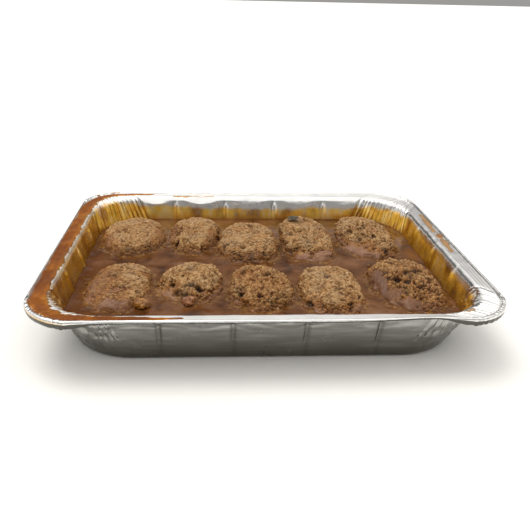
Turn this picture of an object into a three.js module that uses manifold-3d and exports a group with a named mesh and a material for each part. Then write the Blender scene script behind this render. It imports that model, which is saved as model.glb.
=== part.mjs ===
// Ten meat patties in gravy in a shallow half-size foil tray.
// Millimetres, +Z up, +X along the tray, +Y to its back edge.
// The origin is the middle of the tray's underside.

import * as THREE from 'three';
import { mergeVertices } from 'three/addons/utils/BufferGeometryUtils.js';
import Module from 'manifold-3d';

const wasm = await Module();
wasm.setup();

// Tray
const rimLength = 324; // over the rolled bead
const rimWidth = 264;
const trayHeight = 43;
const foil = 0.6; // wall thickness of the solid
const baseInset = 24; // from the rim's edge in to where wall and floor would meet
const mouthInset = 12.7; // from the rim's edge in to the top of the wall
const rimCornerRadius = 32;
const cornerRadiusGain = 14 / baseInset; // corners grow rounder towards the floor
const heelRadius = 4; // between floor and wall
const shoulderRadius = 3; // between wall and flange
const beadRadius = 1.3;
const beadHeight = trayHeight - beadRadius;
const beadAngles = [-130, -65, 0, 45, 90, 135]; // corners of the bead's section, 0 is outwards
const flangeDrop = 0.8; // the flange lies this much lower at the wall than at the bead
const insideHeelSteps = 2;
const outsideHeelSteps = 3;
const shoulderSteps = 2;
const wallRowShare = 0.55; // share of the wall's height at which its faces have a row of corners

// Pressed ribs in the walls and crimps in the corners
const longRibs = [-73.5, -24.5, 24.5, 73.5];
const shortRibs = [-45, 0, 45];
const ribHalfWidth = 2.6;
const ribDepth = 1.1;
const panelBow = 0.5; // the wall bows out this much between two ribs
const pleatsPerCorner = 9;
const pleatDepth = 0.55; // in the wall, to each side
const flangePleatDepth = 0.35; // up and down in the flange
const pressStart = 2; // ribs and crimps begin at this height
const pressFull = 24; // and have their full depth from this one
const pressInShoulder = 0.3; // share of that depth left in the shoulder

// Contents
const gap = 0.3; // between touching solids
const cutGap = 0.35; // round what stands in the gravy
const gravyLevel = 20;
const gravyCornerSegments = 7;
const underside = foil + gap; // where the contents start above the floor
const sectors = 20; // round a patty
const wallRings = [[0.62, underside], [0.92, 7.5], [1, 15]]; // share of the outline, height
const crownRings = [[0.97, 8.6], [0.92, 4.8], [0.82, 2], [0.65, 0.7], [0.43, 0.2], [0.2, 0]]; // share, drop
const coarseLump = 12; // mm from lump to lump
const fineLump = 6;
const fineShare = 0.6; // of the coarse lumps' height
const edgeCalm = 0.7; // share of the relief that is lost at a patty's edge
const edgeCalmPower = 6; // the higher, the nearer to the edge it is lost
const raggedDepth = 0.05; // share by which a patty's outline goes in and out
const raggedSwells = 2.5; // radius, in swells, of the circle on which the outline reads its noise
const raggedBias = 0.6; // the outline goes in more than out
const noiseOffset = 7; // keeps that circle clear of the noise's origin
const raggedSeed = 2; // added to a patty's own seed
const fineSeed = 5;

// at: centre; size: along X and Y; crown: height of the top; square: 2 is an ellipse, more is squarer;
// dome: how much further the edge drops; slope: rise to +X and +Y from centre to edge; taper: share by
// which the +Y end is wider; crag: relief; hollows: [x, y, radius, depth] from the centre, deep ones are
// cavities, wide ones dip to the gravy
const patties = [
  { name: 'patty_back_1', at: [-109.8, 60], size: [60.5, 84.5], crown: 31, square: 2.15, dome: 0.6,
    slope: [-0.2, 1], turn: -4, taper: 0.02, crag: 1.1,
    hollows: [[-22, -28, 9, 3], [2, -36, 5, 2.5], [26, 10, 7, 3]] },
  { name: 'patty_back_2', at: [-54.9, 63.6], size: [48.6, 85], crown: 31.4, square: 2.4, dome: 1.2,
    slope: [0.2, 1], turn: -6, taper: 0.2, crag: 1.6,
    hollows: [[-17, -14, 6, 3.5], [13, 26, 6, 2.5], [-4, -41, 9, 3]] },
  { name: 'patty_back_3', at: [-6.1, 43.8], size: [57, 87], crown: 32, square: 2.3, dome: 0.2,
    slope: [0.3, 0.9], turn: -3, taper: -0.08, crag: 0.7,
    hollows: [[6, 10, 3.5, 1.2], [-20, -5, 5, 1.2]] },
  { name: 'patty_back_4', at: [48, 54], size: [48.5, 101], crown: 33, square: 2.7, dome: 1,
    slope: [0, 0.8], turn: 2, taper: 0, crag: 1.5,
    hollows: [[-12, 40, 6, 1.6], [-6, -43, 14, 6], [14, 3, 4, 1.6]] },
  { name: 'patty_back_5', at: [103.2, 58.2], size: [52.5, 96], crown: 32, square: 2.6, dome: 1,
    slope: [0.3, 1], turn: 3, taper: 0, crag: 1.5,
    hollows: [[-13, -25, 17, 8], [17, -19, 4, 3], [8, 7, 4, 1.6]] },
  { name: 'patty_front_1', at: [-108.2, -41.2], size: [53, 84.5], crown: 29.4, square: 2.6, dome: 1.2,
    slope: [0.6, 1], turn: -3, taper: 0, crag: 1.1,
    hollows: [[-19, -26, 15, 4], [8, 28, 4, 1.8], [-14, 4, 8, 1.6]] },
  { name: 'patty_front_2', at: [-55, -36.8], size: [51.6, 67], crown: 32.4, square: 2.1, dome: 3,
    slope: [0.4, 0.2], turn: -6, taper: -0.06, crag: 1.8,
    hollows: [[1, -4, 4.5, 4.5], [-16, -22, 11, 7], [-3, -24, 7, 5]] },
  { name: 'patty_front_3', at: [-1.4, -46], size: [54, 75], crown: 32.2, square: 2.2, dome: 2.6,
    slope: [0, 0.2], turn: 3, taper: -0.08, crag: 1.8,
    hollows: [[4, 10, 5, 5], [-14, -22, 4.5, 3.5], [-7, 14, 5, 1.6]] },
  { name: 'patty_front_4', at: [51.8, -48.6], size: [51, 78.5], crown: 31, square: 3.2, dome: 1,
    slope: [0.3, 0.5], turn: -4, taper: -0.05, crag: 1.3,
    hollows: [[3, 12, 4, 1.8], [-14, -24, 4, 2.6], [18, 2, 4, 1.4]] },
  { name: 'patty_front_5', at: [113, -41.4], size: [54.8, 90], crown: 32, square: 2.5, dome: 2.2,
    slope: [0.6, 0.8], turn: 6, taper: 0, crag: 1.9,
    hollows: [[-19, -14, 13, 6], [2, 2, 6, 3], [4, -31, 11, 5]] },
];

// Loose morsels as large as a berry; size is along X, Y and Z, tilt leans the top towards -Y
const morsels = [
  { name: 'morsel_front_1', at: [-89.6, -70.6, 22.6], size: [15, 10, 7.5], turn: -12, tilt: 10, color: 0x9a5f25 },
  { name: 'morsel_front_2', at: [-55.6, -67.5, 22.8], size: [11, 9, 8], turn: 20, tilt: 10, color: 0x7c4a2c },
  { name: 'morsel_back_4', at: [39.5, 80.5, 32.3], size: [13, 12, 4], turn: 28, tilt: 6, color: 0x5b6268 },
];
const morselSides = 10;
const morselRings = 5;
const morselLump = 0.12; // share by which a morsel's outline goes in and out
const morselSwells = 1.6;

// Materials
const foilMaterial = new THREE.MeshStandardMaterial({ color: 0xc8c9c8, roughness: 0.3, metalness: 1 });
const gravyMaterial = new THREE.MeshStandardMaterial({ color: 0x714630, roughness: 0.2, metalness: 0 });

// Repeatable value from 0 to 1 for a cell of the noise lattice
function cellValue(i, j, seed) {
  const wave = Math.sin(i * 127.1 + j * 311.7 + seed * 74.7) * 43758.5453;
  return wave - Math.floor(wave);
}

// Smooth noise from -1 to 1 with one swell to a unit
function swell(x, y, seed) {
  const i = Math.floor(x);
  const j = Math.floor(y);
  const u = THREE.MathUtils.smoothstep(x - i, 0, 1);
  const v = THREE.MathUtils.smoothstep(y - j, 0, 1);
  const low = THREE.MathUtils.lerp(cellValue(i, j, seed), cellValue(i + 1, j, seed), u);
  const high = THREE.MathUtils.lerp(cellValue(i, j + 1, seed), cellValue(i + 1, j + 1, seed), u);
  return 2 * THREE.MathUtils.lerp(low, high, v) - 1;
}

// Closed geometry from rings of equal length, the first and last of them closed by a fan
function loft(rings, startCentre, endCentre) {
  const count = rings[0].length;
  const points = [...rings.flat(), startCentre, endCentre];
  const start = points.length - 2;
  const end = points.length - 1;
  const index = [];
  for (let ring = 0; ring < rings.length - 1; ring++) {
    for (let i = 0; i < count; i++) {
      const a = ring * count + i;
      const b = ring * count + (i + 1) % count;
      index.push(a, b, b + count, a, b + count, a + count);
    }
  }
  const last = (rings.length - 1) * count;
  for (let i = 0; i < count; i++) {
    const next = (i + 1) % count;
    index.push(start, next, i);
    index.push(end, last + i, last + next);
  }
  const geometry = new THREE.BufferGeometry();
  geometry.setAttribute('position', new THREE.Float32BufferAttribute(points.flatMap((p) => p.toArray()), 3));
  geometry.setIndex(index);
  geometry.computeVertexNormals();
  return geometry;
}

function toSolid(geometry) {
  const bare = geometry.clone();
  bare.deleteAttribute('normal');
  const merged = mergeVertices(bare, 1e-4);
  return new wasm.Manifold(new wasm.Mesh({
    numProp: 3,
    vertProperties: Float32Array.from(merged.attributes.position.array),
    triVerts: Uint32Array.from(merged.index.array),
  }));
}

function toGeometry(solid) {
  const mesh = solid.getMesh();
  const geometry = new THREE.BufferGeometry();
  geometry.setAttribute('position', new THREE.BufferAttribute(Float32Array.from(mesh.vertProperties), 3));
  geometry.setIndex(new THREE.BufferAttribute(Uint32Array.from(mesh.triVerts), 1));
  geometry.computeVertexNormals();
  return geometry;
}

// Stations round the tray, counter-clockwise from the front side's left end. A side's station has its
// place along the side, or reach, its share of the way from the last rib to the corner.
function sideStations(side, ribs) {
  const stations = [{ side, from: ribs[0], reach: -0.5 }];
  ribs.forEach((rib, i) => {
    stations.push({ side, along: rib - ribHalfWidth }, { side, along: rib, rib: 1 });
    stations.push({ side, along: rib + ribHalfWidth });
    if (i < ribs.length - 1) {
      stations.push({ side, along: (rib + ribs[i + 1]) / 2, bow: 1 });
    }
  });
  stations.push({ side, from: ribs[ribs.length - 1], reach: 0.5 });
  return stations;
}

function cornerStations(corner, segments, pleated) {
  return Array.from({ length: segments + 1 }, (_, i) => ({
    corner,
    angle: ((corner - 1) * Math.PI) / 2 + (i / segments) * (Math.PI / 2),
    pleat: pleated && i > 0 && i < segments ? 1 - 2 * (i % 2) : 0,
  }));
}

function trayStations(cornerSegments, pleated) {
  return [0, 1, 2, 3].flatMap((side) => [
    ...sideStations(side, side % 2 ? shortRibs : longRibs),
    ...cornerStations(side, cornerSegments, pleated),
  ]);
}

// Point of a station at one level: `inset` in from the rim's edge, with the weights of ribs and pleats
function stationPoint(station, level) {
  const halfX = rimLength / 2 - level.inset;
  const halfY = rimWidth / 2 - level.inset;
  const radius = rimCornerRadius + cornerRadiusGain * level.inset;
  if (station.angle !== undefined) {
    const reach = radius + station.pleat * pleatDepth * level.wall;
    const signX = station.corner === 0 || station.corner === 1 ? 1 : -1;
    const signY = station.corner === 1 || station.corner === 2 ? 1 : -1;
    return new THREE.Vector3(
      signX * (halfX - radius) + reach * Math.cos(station.angle),
      signY * (halfY - radius) + reach * Math.sin(station.angle),
      level.z + station.pleat * flangePleatDepth * level.flange,
    );
  }
  const long = station.side % 2 === 0;
  const straight = (long ? halfX : halfY) - radius;
  const push = (station.rib ? -ribDepth : 0) + (station.bow ? panelBow : 0);
  const out = (long ? halfY : halfX) + push * level.wall;
  let along = station.along;
  if (station.reach) {
    const edge = station.from + Math.sign(station.reach) * ribHalfWidth;
    along = THREE.MathUtils.lerp(edge, Math.sign(station.reach) * straight, Math.abs(station.reach));
  }
  const turned = [[along, -out], [out, along], [-along, out], [-out, -along]][station.side];
  return new THREE.Vector3(turned[0], turned[1], level.z);
}

// Points of a fillet between two straight runs that meet at `corner`
function filletPoints(corner, before, after, radius, steps) {
  const back = before.clone().sub(corner).normalize();
  const ahead = after.clone().sub(corner).normalize();
  const half = Math.acos(THREE.MathUtils.clamp(back.dot(ahead), -1, 1)) / 2;
  const inwards = back.clone().add(ahead).normalize();
  const centre = corner.clone().addScaledVector(inwards, radius / Math.sin(half));
  const start = corner.clone().addScaledVector(back, radius / Math.tan(half)).sub(centre);
  const end = corner.clone().addScaledVector(ahead, radius / Math.tan(half)).sub(centre);
  const sweep = Math.atan2(start.cross(end), start.dot(end));
  return Array.from({ length: steps + 1 }, (_, i) =>
    start.clone().rotateAround(new THREE.Vector2(), (sweep * i) / steps).add(centre));
}

// Middle of the foil from the floor to the bead, as inset and height
function foilProfile(heelSteps) {
  const floorMid = foil / 2;
  const floorPoint = new THREE.Vector2(rimWidth / 2, floorMid);
  const heel = new THREE.Vector2(baseInset, floorMid);
  const shoulder = new THREE.Vector2(mouthInset, beadHeight - flangeDrop);
  const flangeEnd = new THREE.Vector2(2 * beadRadius + foil, beadHeight);
  const wallMiddle = heel.clone().lerp(shoulder, wallRowShare);
  return [
    ...filletPoints(heel, floorPoint, shoulder, heelRadius, heelSteps),
    wallMiddle,
    ...filletPoints(shoulder, heel, flangeEnd, shoulderRadius, shoulderSteps),
    flangeEnd,
  ];
}

// One skin of the foil, `side` +1 inside and -1 outside, with the weight of ribs and pleats at each level
function foilSkin(side) {
  const profile = foilProfile(side > 0 ? insideHeelSteps : outsideHeelSteps);
  return profile.map((point, i) => {
    const before = i > 0 ? profile[i - 1] : new THREE.Vector2(point.x + 1, point.y);
    const after = i < profile.length - 1 ? profile[i + 1] : new THREE.Vector2(point.x - 1, point.y);
    const along = after.clone().sub(before).normalize();
    const offset = (side * foil) / 2;
    const inWall = point.x > mouthInset - shoulderRadius;
    return {
      inset: point.x + along.y * offset,
      z: point.y - along.x * offset,
      wall: THREE.MathUtils.smoothstep(point.y, pressStart, pressFull) * (inWall ? 1 : pressInShoulder),
      flange: i >= profile.length - 2 ? 1 : 0,
    };
  });
}

function beadLevels() {
  return beadAngles.map(THREE.MathUtils.degToRad).map((angle) => ({
    inset: beadRadius - beadRadius * Math.cos(angle),
    z: beadHeight + beadRadius * Math.sin(angle),
    wall: 0,
    flange: 0,
  }));
}

function trayGeometry() {
  const levels = [...foilSkin(-1), ...beadLevels(), ...foilSkin(1).reverse()];
  const stations = trayStations(2 * pleatsPerCorner, true);
  const rings = levels.map((level) => stations.map((station) => stationPoint(station, level)));
  const bottom = new THREE.Vector3(0, 0, 0);
  const top = new THREE.Vector3(0, 0, foil);
  return loft(rings, bottom, top);
}

// Height of a patty's top above its plain form
function relief(patty, seed, x, y) {
  const coarse = swell(x / coarseLump, y / coarseLump, seed);
  const fine = swell(x / fineLump, y / fineLump, seed + fineSeed);
  const hollows = patty.hollows.map(([hx, hy, radius, depth]) =>
    -depth * Math.exp(-((x - hx) ** 2 + (y - hy) ** 2) / radius ** 2));
  return patty.crag * (coarse + fineShare * fine) + hollows.reduce((sum, value) => sum + value, 0);
}

// A patty, or with `grow` the slightly larger form that is cut out of its neighbours
function pattyGeometry(patty, seed, grow = 0) {
  const [halfX, halfY] = patty.size.map((length) => length / 2);
  const turn = THREE.MathUtils.degToRad(patty.turn);
  const place = (angle, share, height, topWeight) => {
    const across = Math.cos(angle);
    const along = Math.sin(angle);
    const ellipse = (Math.abs(across) / halfX) ** patty.square + (Math.abs(along) / halfY) ** patty.square;
    const [noiseX, noiseY] = [across, along].map((value) => raggedSwells * value + noiseOffset);
    const noise = swell(noiseX, noiseY, seed + raggedSeed);
    const radius = (1 + raggedDepth * (noise - raggedBias)) / ellipse ** (1 / patty.square);
    const local = new THREE.Vector2(radius * share * across, radius * share * along);
    const rise = patty.slope[0] * (local.x / halfX) + patty.slope[1] * (local.y / halfY)
      + relief(patty, seed, local.x, local.y);
    local.x *= 1 + patty.taper * (local.y / halfY);
    const spread = 1 + grow / radius;
    local.multiplyScalar(spread).rotateAround(new THREE.Vector2(), turn);
    return new THREE.Vector3(patty.at[0] + local.x, patty.at[1] + local.y, height + topWeight * rise);
  };
  const ring = (share, height, topWeight) =>
    Array.from({ length: sectors }, (_, i) => place((2 * Math.PI * i) / sectors, share, height, topWeight));
  const rings = wallRings.map(([share, height], i) => ring(share, i === 0 ? height - grow : height, 0));
  crownRings.forEach(([share, drop]) => {
    const height = patty.crown - drop - patty.dome * share ** 2 + grow;
    rings.push(ring(share, height, 1 - edgeCalm * share ** edgeCalmPower));
  });
  const bottom = new THREE.Vector3(patty.at[0], patty.at[1], underside - grow);
  return loft(rings, bottom, place(0, 0, patty.crown + grow, 1));
}

// Gravy up to its level, following the inside of the tray, with the patties and morsels cut out
function gravyGeometry(cutters) {
  const inner = foilSkin(1).filter((level) => level.z < gravyLevel / 2);
  const mouth = baseInset - ((baseInset - mouthInset) * gravyLevel) / (beadHeight - flangeDrop);
  const margin = gap + pleatDepth;
  const levels = inner.map((level) => ({ ...level, inset: level.inset + margin, z: level.z + gap }));
  levels.push({ inset: mouth + margin, z: gravyLevel, wall: 1, flange: 0 });
  const stations = trayStations(gravyCornerSegments, false);
  const rings = levels.map((level) => stations.map((station) => stationPoint(station, level)));
  const centres = [levels[0].z, gravyLevel].map((z) => new THREE.Vector3(0, 0, z));
  let solid = toSolid(loft(rings, centres[0], centres[1]));
  cutters.forEach((cutter) => {
    solid = solid.subtract(cutter);
  });
  return toGeometry(solid);
}

function morselSolid(morsel, seed, grow = 0) {
  const radii = morsel.size.map((length) => length / 2 + grow);
  const rings = Array.from({ length: morselRings }, (_, i) => {
    const polar = (Math.PI * (i + 1)) / (morselRings + 1);
    return Array.from({ length: morselSides }, (_, k) => {
      const angle = (2 * Math.PI * k) / morselSides;
      const across = morselSwells * Math.cos(angle) + i;
      const along = morselSwells * Math.sin(angle) + noiseOffset;
      const lump = 1 + morselLump * swell(across, along, seed);
      return new THREE.Vector3(
        radii[0] * lump * Math.sin(polar) * Math.cos(angle),
        radii[1] * lump * Math.sin(polar) * Math.sin(angle),
        -radii[2] * Math.cos(polar),
      );
    });
  });
  const geometry = loft(rings, new THREE.Vector3(0, 0, -radii[2]), new THREE.Vector3(0, 0, radii[2]));
  geometry.rotateX(THREE.MathUtils.degToRad(morsel.tilt));
  geometry.rotateZ(THREE.MathUtils.degToRad(morsel.turn));
  geometry.translate(...morsel.at);
  return toSolid(geometry);
}

function addMesh(group, name, geometry, material) {
  const mesh = new THREE.Mesh(geometry, material);
  mesh.name = name;
  group.add(mesh);
}

const group = new THREE.Group();
const grownPatties = patties.map((patty, i) => toSolid(pattyGeometry(patty, i + 1, cutGap)));
const grownMorsels = morsels.map((morsel, i) => morselSolid(morsel, i + 1, cutGap));

addMesh(group, 'foil_tray', trayGeometry(), foilMaterial);
addMesh(group, 'gravy', gravyGeometry([...grownPatties, ...grownMorsels]), gravyMaterial);

patties.forEach((patty, i) => {
  const material = new THREE.MeshStandardMaterial({ color: 0x9c7850, roughness: 0.75, metalness: 0 });
  addMesh(group, patty.name, pattyGeometry(patty, i + 1), material);
});

morsels.forEach((morsel, i) => {
  const material = new THREE.MeshStandardMaterial({ color: morsel.color, roughness: 0.4, metalness: 0 });
  let solid = morselSolid(morsel, i + 1);
  grownPatties.forEach((cutter) => {
    solid = solid.subtract(cutter);
  });
  addMesh(group, morsel.name, toGeometry(solid), material);
});

export default group;
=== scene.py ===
import math
from functools import partial

import bmesh
import bpy
import numpy as np
from mathutils import Matrix, Vector
from mathutils.kdtree import KDTree


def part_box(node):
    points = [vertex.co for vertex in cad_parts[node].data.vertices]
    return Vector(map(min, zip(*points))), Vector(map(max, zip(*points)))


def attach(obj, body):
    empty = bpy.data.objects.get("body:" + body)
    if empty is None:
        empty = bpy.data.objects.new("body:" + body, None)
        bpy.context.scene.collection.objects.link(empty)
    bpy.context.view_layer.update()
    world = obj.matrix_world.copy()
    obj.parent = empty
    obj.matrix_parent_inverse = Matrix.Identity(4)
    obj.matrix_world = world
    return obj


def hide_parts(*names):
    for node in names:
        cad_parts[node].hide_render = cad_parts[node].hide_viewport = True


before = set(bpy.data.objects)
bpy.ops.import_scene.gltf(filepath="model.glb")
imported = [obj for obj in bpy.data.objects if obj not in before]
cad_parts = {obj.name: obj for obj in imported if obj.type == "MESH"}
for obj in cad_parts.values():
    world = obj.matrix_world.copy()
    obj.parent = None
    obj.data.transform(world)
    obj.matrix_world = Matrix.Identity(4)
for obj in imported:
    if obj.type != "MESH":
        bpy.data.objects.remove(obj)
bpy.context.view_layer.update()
mm = 0.001


# Shared helpers: repeatable noise in millimetres, meshes and shader nodes

def cellRandom(cells, seed):
    # a fixed number from 0 to 1 for each cell of a lattice. The large primes only scramble its bits
    n = (cells[:, 0] * 73856093) ^ (cells[:, 1] * 19349663) ^ (cells[:, 2] * 83492791) ^ (seed * 40503 + 977)
    n = (n & 0xFFFFFFFF) ^ ((n & 0xFFFFFFFF) >> 13)
    n = (n * 1274126177) & 0xFFFFFFFF
    n = ((n ^ (n >> 16)) * 1103515245) & 0xFFFFFFFF
    return ((n >> 8) & 0xFFFF) / 0xFFFF


def swells(points, size, seed):
    # smooth noise from about -1 to 1, `size` from swell to swell
    q = points / size
    base = np.floor(q).astype(np.int64)
    f = q - base
    ease = f ** 3 * (f * (f * 6 - 15) + 10)
    total = np.zeros(len(points))
    for corner in np.ndindex(2, 2, 2):
        cell = base + corner
        turn = 2 * math.pi * cellRandom(cell, seed)
        lift = 2 * cellRandom(cell, seed + 31) - 1
        flat = np.sqrt(1 - lift ** 2)
        away = f - corner
        slope = away[:, 0] * flat * np.cos(turn) + away[:, 1] * flat * np.sin(turn) + away[:, 2] * lift
        total += slope * np.prod(np.where(corner, ease, 1 - ease), axis=1)
    return 1.7 * total


def granules(points, size, seed):
    # grains strewn `size` apart: distance to the nearest and to the second nearest in units of size, and
    # the nearest one's shade from 0 to 1
    q = points / size
    base = np.floor(q).astype(np.int64)
    first, second, shade = np.full((3, len(points)), 9.0)
    for step in np.ndindex(3, 3, 3):
        cell = base + np.array(step) - 1
        grain = cell + np.stack([cellRandom(cell, seed + 17 * axis) for axis in range(3)], axis=1)
        distance = np.linalg.norm(q - grain, axis=1)
        second = np.minimum(second, np.maximum(distance, first))
        shade = np.where(distance < first, cellRandom(cell, seed + 71), shade)
        first = np.minimum(first, distance)
    return first, second, shade


def smoothStep(low, high, value):
    share = np.clip((value - low) / (high - low), 0, 1)
    return share * share * (3 - 2 * share)


def vectorsOf(items, key):
    values = np.empty(len(items) * 3)
    items.foreach_get(key, values)
    return values.reshape(-1, 3)


def pointsOf(piece):
    return vectorsOf(piece.data.vertices, "co") / mm


def normalsOf(piece):
    return vectorsOf(piece.data.vertex_normals, "vector")


def setPoints(piece, points):
    piece.data.vertices.foreach_set("co", (np.asarray(points, dtype=np.float32) * mm).ravel())
    piece.data.update()


def setLayer(piece, name, red, green=0.0, blue=0.0):
    # three measures for each vertex, which the material reads as one colour
    layer = piece.data.color_attributes.new(name, "FLOAT_COLOR", "POINT")
    values = np.ones((len(layer.data), 4), dtype=np.float32)
    for channel, measure in enumerate((red, green, blue)):
        values[:, channel] = measure
    layer.data.foreach_set("color", values.ravel())


def shadeSmooth(mesh):
    mesh.polygons.foreach_set("use_smooth", [True] * len(mesh.polygons))


def addObject(name, data):
    thing = bpy.data.objects.new(name, data)
    bpy.context.collection.objects.link(thing)
    return thing


def meshPiece(name, points, faces):
    mesh = bpy.data.meshes.new(name)
    mesh.from_pydata((np.asarray(points) * mm).tolist(), [], faces)
    shadeSmooth(mesh)
    return addObject(name, mesh)


def gridFaces(rows, columns, closed=True):
    # the quads of a grid of points that is listed row by row
    corners = [(row * columns + i, row * columns + (i + 1) % columns)
               for row in range(rows - 1) for i in range(columns if closed else columns - 1)]
    return [(a, b, b + columns, a + columns) for a, b in corners]


def onlyUsed(faces):
    # the points that some faces use, and the faces with those points numbered anew
    used = sorted({i for face in faces for i in face})
    renumber = {old: new for new, old in enumerate(used)}
    return used, [tuple(renumber[i] for i in face) for face in faces]


def settle(piece):
    # applies the piece's modifiers to its mesh
    graph = bpy.context.evaluated_depsgraph_get()
    shaped = piece.evaluated_get(graph)
    mesh = bpy.data.meshes.new_from_object(shaped, preserve_all_data_layers=True, depsgraph=graph)
    piece.modifiers.clear()
    old = piece.data
    piece.data = mesh
    bpy.data.meshes.remove(old)
    mesh.name = piece.name


def linear(code):
    # sRGB hex to the linear colour that shaders take
    parts = [int(code[i:i + 2], 16) / 255 for i in (0, 2, 4)]
    return [c / 12.92 if c <= 0.04045 else ((c + 0.055) / 1.055) ** 2.4 for c in parts] + [1.0]


def addNode(tree, kind, *values, stops=(), **settings):
    # values or sources for the inputs, in the order in which the node shows them or by name in a dictionary.
    # A node as source stands for the first output that it shows. A Mix is of colours unless told otherwise
    node = tree.nodes.new("ShaderNode" + kind)
    for key, value in {**({"data_type": "RGBA"} if kind == "Mix" else {}), **settings}.items():
        setattr(node, key, value)
    named = values and isinstance(values[0], dict)
    sockets = [socket for socket in node.inputs if socket.enabled]
    for socket, value in values[0].items() if named else zip(sockets, values):
        socket = node.inputs[socket] if named else socket
        if isinstance(value, bpy.types.Node):
            value = next(output for output in value.outputs if output.enabled)
        if isinstance(value, bpy.types.NodeSocket):
            tree.links.new(value, socket)
        else:
            socket.default_value = linear(value) if isinstance(value, str) else value
    for i, (place, code) in enumerate(stops):
        stop = node.color_ramp.elements[i] if i < 2 else node.color_ramp.elements.new(place)
        stop.position = place
        stop.color = linear(code)
    return node


def newMaterial(name, layer=None):
    # an empty material, a function that adds nodes to it, the place on the object and a layer's measures
    material = bpy.data.materials.new(name)
    material.use_nodes = True
    material.node_tree.nodes.clear()
    add = partial(addNode, material.node_tree)
    measures = add("SeparateColor", add("Attribute", attribute_name=layer)).outputs if layer else None
    return material, add, add("TexCoord").outputs["Object"], measures


def perMetre(size):
    # texture scale that repeats every `size` millimetres
    return 1 / (size * mm)


# Foil: soft aluminium sheet, cold rolled and press formed. Bright and mirror-like in small facets,
# blurred by rolling lines and fine creases. Stained amber where fat and gravy have dried on it.

foilLook = {
    "clean": "f2f2f1",
    "dull": "d2d2d1",
    # painted shade: the outside is the same foil as the inside, coloured duller and darker
    "outside": "a8a7a2",
    "paintedLowShade": "5c5a50",  # painted shade outside, darker towards the floor
    "crease": "45433d",  # painted shade beside the ribs and under the rolled edge outside
    "wave": 4.5,  # mm between the soft level waves of painted reflection outside
    "ochre": "a06a14",  # where the film lies thickest
    "film": [(0.34, "a06a14"), (0.52, "f0bc3c"), (0.72, "f8d88a")],  # ochre, amber and honey
    "flangeRoughness": 0.58,  # rolled flat between rough tools
    "blotch": 16,  # mm between duller patches
    "cloud": 15,  # mm between darker patches of the amber film
    "crinkle": 3.4,  # mm from crease to crease
    "rollingLine": 0.9,  # mm, drawn coarser than the real 0.02 so as to show
}


def foilMaterial(name, stained):
    # inside it reads the layer stain, red: density of the film, green: how golden it is, blue: flange.
    # Outside it reads a layer whose red is painted shade beside the ribs and under the rolled edge
    material, add, place, layer = newMaterial(name, "stain" if stained else "paintedShade")
    blotch = add("TexNoise", place, perMetre(foilLook["blotch"]), 3.0, 0.6)
    rough = add("MapRange", blotch, 0.3, 0.7, 0.16, 0.3)
    metal = 1.0
    if stained:
        tone = add("Mix", blotch, foilLook["clean"], foilLook["dull"])
        runs = add("Mapping", {"Vector": place, "Scale": (1.0, 1.0, 0.45)})
        cloud = add("TexNoise", runs, perMetre(foilLook["cloud"]), 3.0)
        film = add("ValToRGB", cloud, stops=foilLook["film"])
        deep = add("Mix", layer["Green"], foilLook["ochre"], film)
        colour = add("Mix", layer["Red"], tone, deep)
        metal = add("MapRange", layer["Red"], 0.0, 1.0, 1.0, 0.7)
        rough = add("Mix", layer["Blue"], rough, foilLook["flangeRoughness"], data_type="FLOAT")
    else:
        # painted shade: the outside darkens towards the floor
        low = add("MapRange", add("SeparateXYZ", place).outputs["Z"], 2 * mm, 36 * mm)
        tone = add("Mix", low, foilLook["paintedLowShade"], foilLook["outside"])
        # painted reflection: soft level bands of light on the outside, strongest high up
        waves = add("Mapping", {"Vector": place, "Scale": (0.12, 0.12, 1.0)})
        wave = add("TexNoise", waves, perMetre(foilLook["wave"]), 2.0)
        light = add("MapRange", wave, 0.45, 0.7, 0.0, 0.3)
        share = add("Math", light, low, operation="MULTIPLY")
        paintedSheenWaves = add("Mix", share, tone, foilLook["clean"])
        # painted shade beside the ribs and under the rolled edge
        creaseShade = add("MapRange", layer["Red"], 0.0, 1.0, 0.0, 0.9)
        colour = add("Mix", creaseShade, paintedSheenWaves, foilLook["crease"])
    lines = add("Mapping", {"Vector": place, "Scale": (1.0, 0.08, 1.0)})
    rolled = add("TexNoise", lines, perMetre(foilLook["rollingLine"]), 2.0)
    crease = add("TexVoronoi", place, perMetre(foilLook["crinkle"]), feature="DISTANCE_TO_EDGE")
    fine = add("Bump", {"Strength": 0.12, "Distance": 0.05 * mm, "Height": rolled})
    bump = add("Bump", {"Strength": 0.2, "Distance": 0.1 * mm, "Height": crease.outputs["Distance"],
                        "Normal": fine})
    add("OutputMaterial", add("BsdfPrincipled", {"Base Color": colour, "Metallic": metal, "Roughness": rough,
                                                 "Normal": bump}))
    return material


# Tray: one sheet of foil from the floor up the walls, over the shoulder and the flange into the rolled edge

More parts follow.
